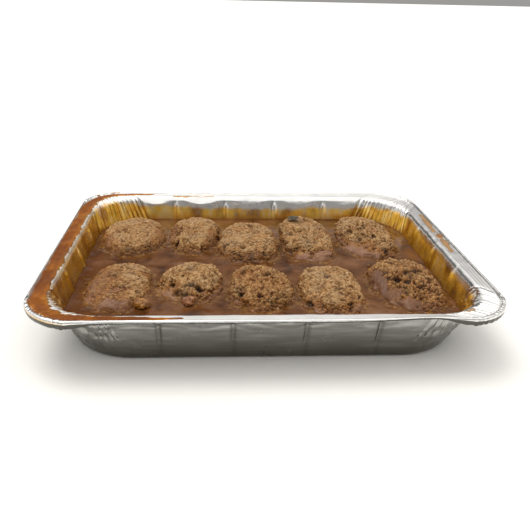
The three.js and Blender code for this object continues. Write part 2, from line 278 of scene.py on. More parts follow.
traySize = [(high - low) / mm for low, high in zip(*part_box("foil_tray"))]
tray = {  # mm, unless a note says more
    "length": traySize[0],
    "width": traySize[1],
    "height": traySize[2],
    "thickness": 0.3,
    "baseInset": 24,
    "mouthInset": 12.7,
    "cornerRadius": 32,
    "cornerGain": 14 / 24,  # corners grow rounder towards the floor
    "heelRadius": 4,
    "shoulderRadius": 4.5,
    "edgeRadius": 1.3,
    "flangeDrop": 0.8,
    "ribs": ((-73.5, -24.5, 24.5, 73.5), (-45, 0, 45)),  # places along the long sides and the short ones
    "ribHalfWidth": 2.4,
    "ribDepth": (1.5, 1.4, 1.1, 1.4),  # on the front, right, back and left
    "panelBow": 0.5,
    "pleats": 16,  # folds in each corner
    "pleatSteps": 8,
    "pleatDepth": 0.95,
    "creaseDepth": 0.45,  # how much deeper the foil is nipped in between two folds
    "crimpDepth": 0.9,  # narrow creases in the flange where two folds meet
    "crimpLean": 0.5,  # how much each fold's flat stands on the slant
    "lines": 0.14,  # depth of the fine lines along the right flange
    "lineStep": 2.3,
    "rollShade": 1.0,  # painted shade under the rolled edge
    "ribShade": 0.25,
    "knurl": 0.42,  # lumps in the rolled edge
    "droop": (2.8, 1.4),  # how much deeper the roll is at the front corners and at the back ones
    "tuck": 1.6,  # how far the front corners are bent in
    "crinkle": (0.15, 0.25, 0.2, 0.3),  # of the shoulder on the front, right, back and left
    "wallSteps": 40,
    "flangeSteps": 10,
    "sideStep": 1.8,  # mm between stations on a side
}
edgeHeight = tray["height"] - tray["edgeRadius"]
shoulderHeight = edgeHeight - tray["flangeDrop"]

# between two ribs the top of the wall is pressed outwards in a shallow scallop. From, to and depth in mm
scallops = {
    0: [(-118, -73.5, 0.5), (-73.5, -24.5, 0.6), (-24.5, 24.5, 0.5), (24.5, 73.5, 0.6), (73.5, 118, 0.7)],
    1: [(-86, -45, 0.1), (0, 45, 0.15)],
    2: [(-113, -75.5, 2.7), (-71.5, -26, 2.9), (-23, 23, 1.3), (26, 72, 1.4), (75, 113, 1.0)],
    3: [(-86, -45, 0.2), (-45, 0, 0.3), (45, 86, 0.2)],
}
scallopHeight = 6.2  # mm from the shoulder down to the lowest point of its lower edge
outwards = ((0, -1), (1, 0), (0, 1), (-1, 0))  # the way out of the front, right, back and left
crushed = {"x": 105, "left": 34.375, "right": 20, "inwards": 2.2, "up": 0.9}  # knocked rim, front right


def pleatRow(seed):
    # equal steps round a corner: place, fold height from -1 to 1, crease and slant, uneven in width and depth
    rng = np.random.default_rng(seed)
    count = tray["pleats"]
    widths = rng.uniform(0.65, 1.4, count)
    edges = np.concatenate([[0], np.cumsum(widths) / widths.sum()])
    depths = rng.uniform(0.45, 1.2, count)
    lean = rng.uniform(0.3, 0.7, count)
    tilt = rng.uniform(-1, 1, count)
    rows = []
    for share in np.linspace(0, 1, count * tray["pleatSteps"] + 1):
        i = min(np.searchsorted(edges, share, "right") - 1, count - 1)
        inFold = min(max((share - edges[i]) / (edges[i + 1] - edges[i]), 0), 1)
        ridge = inFold / lean[i] if inFold < lean[i] else (1 - inFold) / (1 - lean[i])
        crease = math.exp(-(min(inFold, 1 - inFold) / 0.17) ** 2)
        rows.append((share, depths[i] * (2 * ridge ** 0.8 - 1), crease * depths[i], tilt[i] * (inFold - 0.5)))
    return rows


def trayStations():
    # places round the tray, counter-clockwise from the front's left end: side, corner or -1, place along
    # the side, share of the way from there to its end, and the row of folds
    rows = []
    ends = (0.94, 0.82, 0.7, 0.58, 0.46, 0.34, 0.22, 0.1)
    for side in range(4):
        ribs = tray["ribs"][side % 2]
        reach = ribs[-1] + tray["ribHalfWidth"]
        even = np.linspace(-reach, reach, int(2 * reach / tray["sideStep"]))
        across = tray["ribHalfWidth"] * np.array((-1.3, -0.9, -0.6, -0.3, 0, 0.3, 0.6, 0.9, 1.3))
        closer = np.concatenate([rib + across for rib in ribs])
        clear = [x for x in even if np.abs(closer - x).min() > 0.5]
        places = np.sort(np.concatenate([clear, closer[np.abs(closer) < reach], (-reach, reach)]))
        row = [(-reach, share) for share in ends] + [(along, 0) for along in places]
        row += [(reach, share) for share in ends[::-1]]
        rows += [(side, -1, *place, 0, 0, 0, 0) for place in row]
        rows += [(side, side, 0, 0, *fold) for fold in pleatRow(40 + side)]
    return np.array(rows).T


sideOf, cornerOf, alongOf, shareOf, turnOf, pleats, creases, slants = trayStations()


def onSide(side):
    return (sideOf == side) & (cornerOf < 0)


def trayRing(inset):
    # plan points and outward directions of all stations, at one inset from the edge
    half = np.array([tray["length"] / 2 - inset, tray["width"] / 2 - inset])
    radius = tray["cornerRadius"] + tray["cornerGain"] * inset
    straight = np.where(sideOf % 2, half[1], half[0]) - radius
    along = alongOf + shareOf * (np.sign(alongOf) * straight - alongOf)
    out = np.where(sideOf % 2, half[0], half[1])
    plan, facing = np.empty((2, len(sideOf), 2))
    for side, (outX, outY) in enumerate(outwards):
        here = onSide(side)
        facing[here] = (outX, outY)
        plan[here] = out[here, None] * (outX, outY) + along[here, None] * (-outY, outX)
        corner = cornerOf == side
        angle = (side - 1) * math.pi / 2 + turnOf[corner] * math.pi / 2
        facing[corner] = np.stack([np.cos(angle), np.sin(angle)], axis=1)
        centre = (half - radius) * ((1 if side in (0, 1) else -1), (1 if side in (1, 2) else -1))
        plan[corner] = centre + radius * facing[corner]
    return plan, facing


def bulge(along, low, high):
    # 1 half way from low to high, falling to 0 at both
    return np.clip(1 - ((along - (low + high) / 2) / ((high - low) / 2)) ** 2, 0, 1)


def ribShapes():
    # how far each station stands in at a rib and out between two, and the painted shade beside the ribs
    push, creaseShade = np.zeros((2, len(sideOf)))
    for side in range(4):
        ribs = tray["ribs"][side % 2]
        here = onSide(side) & (shareOf == 0)
        for left, right in zip(ribs, ribs[1:]):
            between = here & (alongOf > left) & (alongOf < right)
            push += tray["panelBow"] * np.where(between, bulge(alongOf, left, right), 0)
        for rib in ribs:
            away = np.abs(alongOf - rib) / tray["ribHalfWidth"]
            dip = np.where(here & (away < 1), np.cos(np.minimum(away, 1) * math.pi / 2), 0)
            push -= tray["ribDepth"][side] * dip
            creaseShade += tray["ribShade"] * here * np.exp(-((alongOf - rib - 1.2) / 1.3) ** 2)
    return push, creaseShade


def scallopPush(plan, z):
    # how far the scallops stand out at one height
    push = np.zeros(len(plan))
    for side, row in scallops.items():
        for low, high, depth in row:
            share = np.where(onSide(side), bulge(plan[:, side % 2], low, high), 0)
            start = shoulderHeight - scallopHeight * share
            push += depth * share * np.clip((z - start) / scallopHeight, 0, 1)
    return push


def arcPoints(corner, before, after, radius, steps):
    # fillet between two straight runs that meet at `corner`
    corner, before, after = (np.array(p, dtype=float) for p in (corner, before, after))
    back = (before - corner) / np.linalg.norm(before - corner)
    ahead = (after - corner) / np.linalg.norm(after - corner)
    half = math.acos(np.dot(back, ahead)) / 2
    centre = corner + (back + ahead) / np.linalg.norm(back + ahead) * radius / math.sin(half)
    start = math.atan2(*(corner + back * radius / math.tan(half) - centre)[::-1])
    end = math.atan2(*(corner + ahead * radius / math.tan(half) - centre)[::-1])
    sweep = (end - start + math.pi) % (2 * math.pi) - math.pi
    angles = [start + sweep * k / steps for k in range(steps + 1)]
    return [centre + radius * np.array([math.cos(angle), math.sin(angle)]) for angle in angles]


def trayProfile():
    # middle of the foil as inset and height, from the floor to the end of the rolled edge
    floorZ = tray["thickness"] / 2
    heel = (tray["baseInset"], floorZ)
    shoulder = (tray["mouthInset"], shoulderHeight)
    flangeEnd = (2 * tray["edgeRadius"] + 0.15, edgeHeight)
    floorInsets = (60, 46, 36)
    bend = arcPoints(heel, (floorInsets[0], floorZ), shoulder, tray["heelRadius"], 5)
    lip = arcPoints(shoulder, heel, flangeEnd, tray["shoulderRadius"], 9)
    points = [np.array([inset, floorZ]) for inset in floorInsets] + bend
    steps, flangeSteps = tray["wallSteps"], tray["flangeSteps"]
    points += [bend[-1] + (lip[0] - bend[-1]) * (k / steps) ** 0.7 for k in range(1, steps)]
    points += lip
    points += [lip[-1] + (np.array(flangeEnd) - lip[-1]) * k / flangeSteps for k in range(1, flangeSteps + 1)]
    roll = tray["edgeRadius"] - tray["thickness"] / 2
    for angle in (180, 155, 130, 105, 80, 55, 30, 5, -20, -50, -85, -120, -150):
        turn = math.radians(angle)
        points.append((tray["edgeRadius"] - roll * math.cos(turn), edgeHeight + roll * math.sin(turn)))
    return np.array(points)


profile = trayProfile()
rollCrest, rollStart = len(profile) - 9, len(profile) - 6  # its top, and from where it faces down
ribs, ribShadeMarks = ribShapes()
ribsBeside = np.minimum(np.minimum(np.roll(ribs, 1), np.roll(ribs, -1)), ribs)


def trayPoint(inset, z, folded=1.0):
    # the foil's middle at one inset and height, with its ribs, folds, dents and creases
    plan, facing = trayRing(inset)
    x, y = plan.T
    points = np.column_stack([plan, np.full(len(plan), z)])
    onFlange = 1 - smoothStep(tray["mouthInset"] - 2.5, tray["mouthInset"] + 0.5, inset)
    inEdge = 1 - smoothStep(2.4, 3.8, inset)
    flat = onFlange * (1 - inEdge)
    wall = (1 - 0.6 * onFlange) * (1 - inEdge)
    push = wall * (smoothStep(2, 20, z) * (1 - 0.7 * smoothStep(33, 38, z))) * ribs * (1 - onFlange)
    push += folded * wall * smoothStep(3, 34, z) * pleats * tray["pleatDepth"]
    push -= folded * (1 - inEdge) * smoothStep(22, 38, z) * creases * tray["creaseDepth"]
    if inset > 3.4:  # inwards of the roll
        push += (1 - 0.5 * onFlange) * scallopPush(plan, z)
        wrinkle = 0.3 * swells(points, 19, 3) + 0.12 * swells(points * (1, 1, 0.6), 6, 4)
        atFront = (sideOf == 0) | (cornerOf == 3)
        nearCorner = smoothStep(84, 116, np.abs(x)) * np.where(atFront, 1, 0.12)
        dent = (1.5 * swells(points * (1, 1, 1.5), 11, 5) + 1.1 * np.abs(swells(points, 7, 8))) * nearCorner
        dent += 0.9 * np.abs(swells(points * (0.25, 0.25, 1), 6, 14)) * smoothStep(22, 30, z) * atFront
        push += smoothStep(3, 16, z) * (1 - onFlange) * (wrinkle + np.maximum(dent, -0.5))
    shoulder = math.exp(-((inset - tray["mouthInset"] + 1) / 3.2) ** 2)
    crinkle = np.array(tray["crinkle"])[sideOf.astype(int)]
    push += shoulder * crinkle * (swells(points, 4.2, 9) + 0.8 * np.abs(swells(points, 9, 10)))
    crimp = folded * (slants * tray["crimpLean"] * 2 - creases * tray["crimpDepth"])
    lift = flat * (crimp + 0.14 * swells(points, 9, 6))
    lift += flat * onSide(1) * tray["lines"] * math.sin(2 * math.pi * inset / tray["lineStep"])
    cornered = 0.35 + 0.65 * (cornerOf >= 0)
    knurl = tray["knurl"] * cornered * (swells(points, 2.3, 7) + 0.6 * swells(points, 5, 15) - 0.7 * creases)
    lift += inEdge * knurl * np.sign(z - edgeHeight + 0.2)
    push += inEdge * knurl * (0.6 if z < edgeHeight + 0.5 else 0)
    offset = x - crushed["x"]
    crush = np.exp(-(offset / np.where(offset < 0, crushed["left"], crushed["right"])) ** 2)
    crush *= np.where(onSide(0) | (cornerOf == 0), 1, 0) * onFlange * (y < 0)
    outer = np.clip((9 - inset) / 9, 0, 1)
    push -= crush * crushed["inwards"] * outer
    lift += crush * crushed["up"] * outer * (0.2 if z > edgeHeight + 0.3 else 1)
    corner = smoothStep(106, 132, np.abs(x)) * smoothStep(76, 102, np.abs(y))
    under = inEdge * np.clip((edgeHeight + 0.6 - z) / tray["edgeRadius"], 0, 1.5)
    lift -= under * corner * np.where(y < 0, *tray["droop"])
    push -= np.sin(math.pi * turnOf) * np.isin(cornerOf, (0, 3)) * tray["tuck"] * outer
    points[:, :2] += facing * push[:, None]
    points[:, 2] += lift
    most = np.array([tray["length"] / 2, tray["width"] / 2, tray["height"]]) - tray["thickness"] / 2
    return np.clip(points, (-most[0], -most[1], tray["thickness"] / 2), most), facing


gravyLine = 20.0
stains = {  # height of the amber film above the gravy, how dense it is and how golden, on each side
    "front": (10, 0.8, 0.6),
    "right": (17.5, 1.0, 1.4),
    "back": (11.2, 0.95, 1.4),
    "left": (26, 1.0, 0.9),
}


def stainOf(points, insets):
    # density of the amber film on the inside, 0 clean to 1, how golden it is, and the flange
    x, y, z = points.T
    height = z - gravyLine
    angle = np.arctan2(y / tray["width"], x / tray["length"])
    around = np.stack([np.cos(angle), np.sin(angle)], axis=1)
    weights = np.stack([np.clip(around @ np.array(way), 0, 1) ** 3 for way in outwards], axis=1)
    weights /= weights.sum(axis=1)[:, None]
    reach, dense, golden = (weights @ np.array(list(stains.values()))).T
    flat = points * (1, 1, 0)
    streak = swells(flat, 3, 13)
    reach = reach + 14 * np.exp(-np.hypot(x + 142, y + 112) / 22)  # front left corner
    reach = reach + 2.2 * swells(flat, 26, 11) + 1.4 * swells(flat, 7, 12) + 0.8 * streak
    film = dense * (1 - smoothStep(reach - 2.5, reach + 2.0, height))
    film = film * (z < edgeHeight - 0.6)
    flange = smoothStep(2.4, 3, insets) * smoothStep(shoulderHeight - 1.5, shoulderHeight - 0.5, z)
    flange = flange * (weights @ (1, 0.1, 0.8, 0.6))
    high = np.clip(height / reach, 0, 1)
    crest = np.exp(-((insets - 10.6) / 2.3) ** 2) * smoothStep(36, 38, z)  # fat drains off it
    thin = (1 - 0.5 * high * smoothStep(0.2, 0.8, streak)) * (1 - 0.95 * crest)
    return film * thin, golden * (0.35 + 0.65 * high), flange


def buildTray():
    rings = np.array([trayPoint(inset, z)[0] for inset, z in profile])
    levels, count = rings.shape[:2]
    points = np.concatenate([rings.reshape(-1, 3), [[0, 0, profile[0][1]]]])
    faces = [(a, d, c, b) for a, b, c, d in gridFaces(levels, count)]
    faces += [(len(points) - 1, i, (i + 1) % count) for i in range(count)]
    piece = meshPiece("pressedTray", points, faces)
    insets = np.append(np.repeat(profile[:, 0], count), tray["length"] / 2)
    setLayer(piece, "stain", *stainOf(points, insets))
    # painted shade beside the ribs and under the rolled edge, read by the outside foil
    paintedShade = np.tile(ribShadeMarks, (levels, 1))
    paintedShade[rollStart:] = tray["rollShade"]
    setLayer(piece, "paintedShade", np.append(paintedShade, 0))
    outside = [int(i >= rollStart * count) for i in range(len(faces))]
    piece.data.polygons.foreach_set("material_index", outside)
    thick = piece.modifiers.new("sheet", "SOLIDIFY")
    thick.thickness = tray["thickness"] * mm
    thick.offset = 0
    thick.material_offset = 1
    piece.data.materials.append(foilMaterial("press formed aluminium foil, stained", True))
    piece.data.materials.append(foilMaterial("press formed aluminium foil, outside", False))
    settle(piece)
    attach(piece, "root")
    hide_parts("foil_tray")
    return piece


trayPiece = buildTray()
print("tray:", len(trayPiece.data.polygons), "faces")


# Gravy: brown roux gravy thickened with starch. Smooth, glossy and opaque, more orange where fat lies on it
# by the walls and round the meat, with fine crumbs of mince in it there.

gravyLook = {
    "body": [(0.36, "432612"), (0.52, "5f3b20"), (0.72, "755034")],
    "pepper": "432612",
    "coatAndSheen": "946e57",  # where it lies on the meat, paler and pinker as painted sheen
    "fat": "542a02",
    "mince": "94703f",
    "tan": "b3916a",
    "film": [(0.0, "c8923a"), (0.25, "a8651c"), (0.9, "80460e")],  # from thin to thick
    "red": "5a2a10",
    "ior": 1.38,
    "specular": 0.17,  # starch makes the surface a little dull
    "driedSpecular": 0.14,  # duller still where it has dried
    "roughness": 0.14,
    "driedRoughness": 0.24,
    "swirl": 18,  # mm from one cloud of colour to the next
    "speck": 5,  # mm between grains of pepper and mince
    "grain": 2.4,  # mm between crumbs of mince
    "ripple": 6,  # mm
    "streak": 13,  # mm between streaks in a dried film
}


def gravyColour(add, place):
    # clouds of the three browns with dark specks
    swirl = add("TexNoise", {"Vector": place, "Scale": perMetre(gravyLook["swirl"]), "Detail": 4.0,
                             "Distortion": 0.5})
    body = add("ValToRGB", swirl, stops=gravyLook["body"])
    speck = add("TexVoronoi", place, perMetre(gravyLook["speck"]))
    dark = add("MapRange", speck, 0.06, 0.12, 0.8, 0.0)
    return add("Mix", dark, body, gravyLook["pepper"])


def gravyMaterial():
    # reads the layer pool, red: how much fat lies on the gravy, green: how many crumbs are in it
    material, add, place, zone = newMaterial("brown roux gravy", "pool")
    fatty = add("Mix", zone["Red"], gravyColour(add, place), gravyLook["fat"])
    grain = add("TexNoise", place, perMetre(gravyLook["grain"]), 3.0, 0.7)
    share = add("Math", add("MapRange", grain, 0.42, 0.62), zone["Green"], operation="MULTIPLY")
    crumbly = add("Mix", share, fatty, gravyLook["mince"])
    ripple = add("TexNoise", place, perMetre(gravyLook["ripple"]), 2.0)
    rippled = add("Bump", {"Strength": 0.55, "Distance": 0.6 * mm, "Height": ripple})
    bump = add("Bump", {"Distance": 0.5 * mm, "Height": grain, "Strength": zone["Green"], "Normal": rippled})
    liquid = add("BsdfPrincipled", {
        "Base Color": crumbly, "Normal": bump, "Roughness": gravyLook["roughness"], "IOR": gravyLook["ior"],
        "Specular IOR Level": gravyLook["specular"], "Subsurface Weight": 0.1,
        "Subsurface Radius": (1.0, 0.45, 0.2), "Subsurface Scale": 1.2 * mm})
    add("OutputMaterial", liquid)
    return material


def smearMaterial():
    # the same gravy as a film: yellow to orange where the metal shows through, red-brown where it is thick.
    # The foil under it glints where it is thinnest. Reads the layer film, red: thickness, green: how far
    # it has gone towards red, blue: how milky it is
    material, add, place, film = newMaterial("brown roux gravy, thin film", "film")
    tone = add("ValToRGB", film["Red"], stops=gravyLook["film"])
    runs = add("Mapping", {"Vector": place, "Scale": (1.0, 0.45, 1.0)})
    streak = add("TexNoise", {"Vector": runs, "Scale": perMetre(gravyLook["streak"]), "Detail": 3.0,
                              "Distortion": 0.4})
    uneven = add("MapRange", streak, 0.38, 0.62, 0.0, 2.0)
    share = add("Math", uneven, film["Green"], operation="MULTIPLY", use_clamp=True)
    red = add("Mix", share, tone, gravyLook["red"])
    pale = add("Mix", film["Blue"], red, gravyLook["tan"])
    bump = add("Bump", {"Strength": 0.8, "Distance": 0.9 * mm, "Height": streak})
    liquid = add("BsdfPrincipled", {
        "Base Color": pale, "Metallic": add("MapRange", film["Red"], 0.0, 0.4, 0.85, 0.0), "Normal": bump,
        "Roughness": gravyLook["driedRoughness"], "IOR": gravyLook["ior"],
        "Specular IOR Level": gravyLook["driedSpecular"]})
    add("OutputMaterial", liquid)
    return material


# Mince: coarsely ground beef, pan fried and then stewed. Crumbly and matt on top with tan crumbs, short
# cracks and small dark pits, wet and brown where the gravy coats it.

minceLook = {
    # from the pits over the gaps, the seared meat and the crumbs to the crust; low relief painted darker as
    # shade, raised crumbs lighter
    "meat": [(0.0, "2e1b10"), (0.14, "6a4829"), (0.32, "a0794c"), (0.56, "b28d61"), (0.9, "c1a076")],
    "burnt": "4a2f1a",
    "grey": "ab987c",
    "grain": [(0.0, "b29c84"), (0.45, "e8e0d2"), (1.0, "ffffff")],  # what each leaves of the light
    "wet": "e0c8a4",  # what moisture leaves of the light
    "ior": 1.4,
    "specular": 0.25,  # cooked meat is dull
    "patch": 13,  # mm between greyer patches
    "fleck": 2.6,  # mm between browned flecks
    "fine": 1.1,  # mm, the finest grain that shows
}


def minceMaterial():
    # reads the layer crumb, red: painted shade and light that follow the relief, dark in pits, cracks and
    # gaps
    # and light on raised crumbs, green: how thick gravy lies on it, blue: tone, and under gravy how pale it
    # is with painted sheen
    material, add, place, crumb = newMaterial("fried and stewed beef mince", "crumb")
    meat = add("ValToRGB", crumb["Red"], stops=minceLook["meat"])
    patch = add("TexNoise", place, perMetre(minceLook["patch"]), 4.0, 0.6)
    grey = add("Mix", add("MapRange", patch, 0.45, 0.65, 0.0, 0.45), meat, minceLook["grey"])
    grain = add("ValToRGB", crumb["Blue"], stops=minceLook["grain"])
    toned = add("Mix", 1.0, grey, grain, blend_type="MULTIPLY")
    fleck = add("TexNoise", place, perMetre(minceLook["fleck"]), 3.0, 0.75)
    flecked = add("MapRange", fleck, 0.34, 0.44, 0.9, 0.0)
    shade = add("Mix", flecked, toned, minceLook["burnt"])
    damp = add("MapRange", crumb["Green"], 0.0, 0.35)
    wet = add("Mix", damp, shade, minceLook["wet"], blend_type="MULTIPLY")
    # painted sheen: the blue measure makes the gravy on the meat paler and pinker
    sauce = add("Mix", crumb["Blue"], gravyColour(add, place), gravyLook["coatAndSheen"])
    coated = add("Mix", add("MapRange", crumb["Green"], 0.4, 0.95), wet, sauce)
    fine = add("TexNoise", place, perMetre(minceLook["fine"]), 3.0, 0.7)
    depth = add("MapRange", crumb["Green"], 0.2, 0.9, 0.9, 0.08)
    flesh = add("BsdfPrincipled", {
        "Base Color": coated, "Roughness": add("MapRange", crumb["Green"], 0.1, 0.8, 0.66, 0.2),
        "Normal": add("Bump", {"Distance": 0.3 * mm, "Height": fine, "Strength": depth}),
        "IOR": minceLook["ior"], "Specular IOR Level": minceLook["specular"], "Subsurface Weight": 0.1,
        "Subsurface Radius": (1.0, 0.5, 0.25), "Subsurface Scale": 1.0 * mm})
    add("OutputMaterial", flesh)
    return material


mince = minceMaterial()
brownGravy = gravyMaterial()
thinGravy = smearMaterial()

# Patties. grain: mm from crumb to crumb; relief: mm; fibre: how much longer the crumbs are one way, and its
# angle; cracks: how deep along them; holes: how many small ones; grey: share of greyer meat; contrast: of
# the painted light on crumbs against the painted shade in gaps; darker: more browned; milky: how pale the
# gravy on it is, as painted sheen. In tray mm, pits: x, y, radius, depth; coats: x, y, half width, half
# length and density of gravy that lies on the meat
usual = {"fibre": (1.1, 0), "grey": 0, "contrast": 1, "darker": 0, "milkyAndSheen": 0.5}
patties = {
    "back_1": dict(
        grain=1.7, relief=0.5, cracks=0.45, holes=0.3, fibre=(1.5, -4), contrast=0.8, darker=0.08,
        pits=[(-111, 24.5, 3, 1.2), (-100, 27, 2.4, 1), (-106, 21, 3, 1.2), (-92, 26, 2, 1)],
        coats=[(-133, 34, 8, 20, 0.8), (-86, 56, 5, 22, 0.5), (-98, 20, 16, 4, 0.4)]),
    "back_2": dict(
        grain=2.0, relief=0.8, cracks=0.5, holes=0.45, contrast=0.85,
        pits=[(-70, 36, 3.4, 3.4), (-63, 34, 2.6, 2.6), (-42, 78, 3.6, 3), (-34, 80, 3, 3),
              (-31, 66, 2.6, 3), (-60, 70, 1.8, 2), (-52, 55, 1.6, 2), (-46, 30, 3, 2)],
        coats=[(-75, 62, 5, 22, 0.5), (-38, 44, 5, 20, 0.5), (-50, 24, 12, 3, 0.4)]),
    "back_3": dict(
        grain=1.8, relief=0.6, cracks=1.0, holes=0.4, fibre=(1.6, -9), contrast=0.95, darker=0.08,
        pits=[(1, 52, 1.8, 1.8), (9, 26, 2, 2.2), (-29, 22, 2.4, 2.2), (-20, 30, 1.6, 1.5),
              (6, 66, 2, 1.6), (-12, 18, 2.6, 1.6), (-2, 14, 2.2, 1.6)],
        coats=[(-8, 3, 30, 8, 0.55), (20, 40, 4, 26, 0.4)]),
    "back_4": dict(
        grain=2.0, relief=0.8, cracks=0.7, holes=0.5, fibre=(1.2, 3), grey=0.2, darker=0.03, milkyAndSheen=0.8,
        pits=[(50, 84, 2.4, 2.8), (30, 62, 2.6, 2.6), (37, 24, 2.6, 2.6), (29.5, 19, 2.4, 2.6),
              (48, 28, 2, 2), (60, 38, 2, 2), (42, 50, 1.8, 2), (64, 66, 2.2, 2.2), (34, 84, 3, 2.4)],
        coats=[(70, 46, 4, 24, 0.45), (58, 9, 12, 9, 0.9), (37, 8, 16, 8, 1)]),
    "back_5": dict(
        grain=2.2, relief=0.95, cracks=0.8, holes=1.3, grey=0.15, contrast=1.2, darker=-0.09, milkyAndSheen=0.7,
        pits=[(88, 58, 2.2, 2.6), (98, 62, 2, 2.4), (109, 46, 2, 2.6), (114, 38, 2.4, 2.8), (110, 30, 2.4, 3),
              (113, 21, 3.4, 3.4), (104, 26, 2.2, 2.6), (122, 56, 2.2, 2.4), (90, 82, 2, 2), (104, 86, 2, 2),
              (118, 72, 2, 2.2), (96, 44, 1.8, 2.2)],
        coats=[(86, 26, 15, 13, 1), (94, 14, 14, 7, 1), (78, 48, 4, 20, 0.5)]),
    "front_1": dict(
        grain=1.8, relief=0.55, cracks=0.7, holes=0.4, fibre=(1.7, -10), grey=0.5,
        pits=[(-93, -27, 2.8, 2.6), (-99, -31, 2, 2), (-92, -60, 2.4, 1.2), (-101, -48, 1.6, 1.8),
              (-97, -12, 2, 2)],
        coats=[(-130, -50, 7, 30, 0.7), (-126, -44, 13, 30, 0.5), (-112, -76, 22, 8, 0.8),
               (-119, -42, 13, 2.6, 0.6), (-120, -26, 12, 2.2, 0.55), (-115, -58, 15, 2.8, 0.7)]),
    "front_2": dict(
        grain=2.4, relief=1.0, cracks=0.7, holes=0.8, darker=-0.06,
        pits=[(-54, -50, 3.6, 5), (-48.5, -58, 3.2, 4), (-59, -62, 4.2, 4), (-69, -48, 2.6, 3),
              (-66, -56, 2.8, 3), (-44, -44, 2, 2.4), (-56, -26, 2, 2), (-51, -55, 2.6, 3.5)],
        coats=[(-73, -58, 9, 8, 0.9), (-40, -64, 9, 5, 0.6), (-50, -67, 16, 3.5, 0.6)]),
    "front_3": dict(
        grain=2.4, relief=1.1, cracks=0.6, holes=1.1, contrast=1.1, darker=-0.06,
        pits=[(2.7, -38, 5, 5.5), (8, -42, 3.6, 4.5), (-18, -66, 3, 3.6), (-8, -52, 2.8, 3),
              (-14, -32, 2.2, 2.4), (10, -62, 2.2, 2.6), (-4, -72, 2.2, 2.4), (14, -28, 2, 2.2)],
        coats=[(-15, -34, 10, 9, 0.4), (-2, -82, 20, 4, 0.6), (0, -48, 26, 34, 0.2)]),
    "front_4": dict(
        grain=2.0, relief=0.8, cracks=0.9, holes=0.6, fibre=(1.2, 4), grey=0.1, darker=-0.04,
        pits=[(50, -42, 4, 2.4), (32, -76, 3.4, 3.4), (57, -77, 2.6, 2.6), (66, -56, 2.6, 2.6),
              (40, -60, 2, 2), (58, -30, 2, 2), (38, -28, 1.8, 2), (70, -70, 2.4, 2.4),
              (62, -80, 3, 2.2), (36, -70, 2.6, 2.4)],
        coats=[(28, -72, 3.5, 14, 0.5), (46, -87, 22, 3, 0.4)]),
    "front_5": dict(
        grain=2.3, relief=1.1, cracks=0.7, holes=1.5, grey=0.1, contrast=1.4, darker=-0.02, milkyAndSheen=0.3,
        pits=[(121.5, -34, 3.4, 3), (105, -46, 3.2, 4), (110, -50, 3.2, 3.6), (114, -36, 2.4, 2.6),
              (106, -64, 2.8, 3), (116, -70, 2.6, 2.8), (99, -32, 2.4, 2.6), (120, -58, 2.2, 2.4),
              (108, -18, 2, 2.4), (128, -50, 2.2, 2.4), (115, -45, 3, 3.2)],
        coats=[(91, -46, 8, 28, 1), (101, -78, 19, 10, 1), (124, -80, 15, 6, 0.6), (98, -60, 8, 11, 0.8),
               (116, -46, 24, 40, 0.22)]),
}
morselNodes = ("morsel_front_1", "morsel_front_2", "morsel_back_4")
formMesh = {"voxel": 1.15, "smoothing": 8, "seen": 15}  # mm, passes, and the height above which it is split


def formOf(name, node, voxel):
    # a rounded copy of a solid's form, finer where it shows
    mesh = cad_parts[node].data.copy()
    piece = addObject(name, mesh)
    mesh.materials.clear()
    remesh = piece.modifiers.new("even", "REMESH")
    remesh.mode = "VOXEL"
    remesh.voxel_size = voxel * mm
    piece.modifiers.new("round", "SMOOTH").iterations = formMesh["smoothing"]
    settle(piece)
    work = bmesh.new()
    work.from_mesh(piece.data)
    seen = [e for e in work.edges if min(v.co.z for v in e.verts) > formMesh["seen"] * mm]
    bmesh.ops.subdivide_edges(work, edges=seen, cuts=1, use_grid_fill=True, smooth=0.5)
    work.to_mesh(piece.data)
    work.free()
    shadeSmooth(piece.data)
    return piece


def awayFrom(points, x, y, halfX, halfY):
    # distance in plan from the middle of an oval, 1 on its outline
    return np.hypot((points[:, 0] - x) / halfX, (points[:, 1] - y) / halfY)


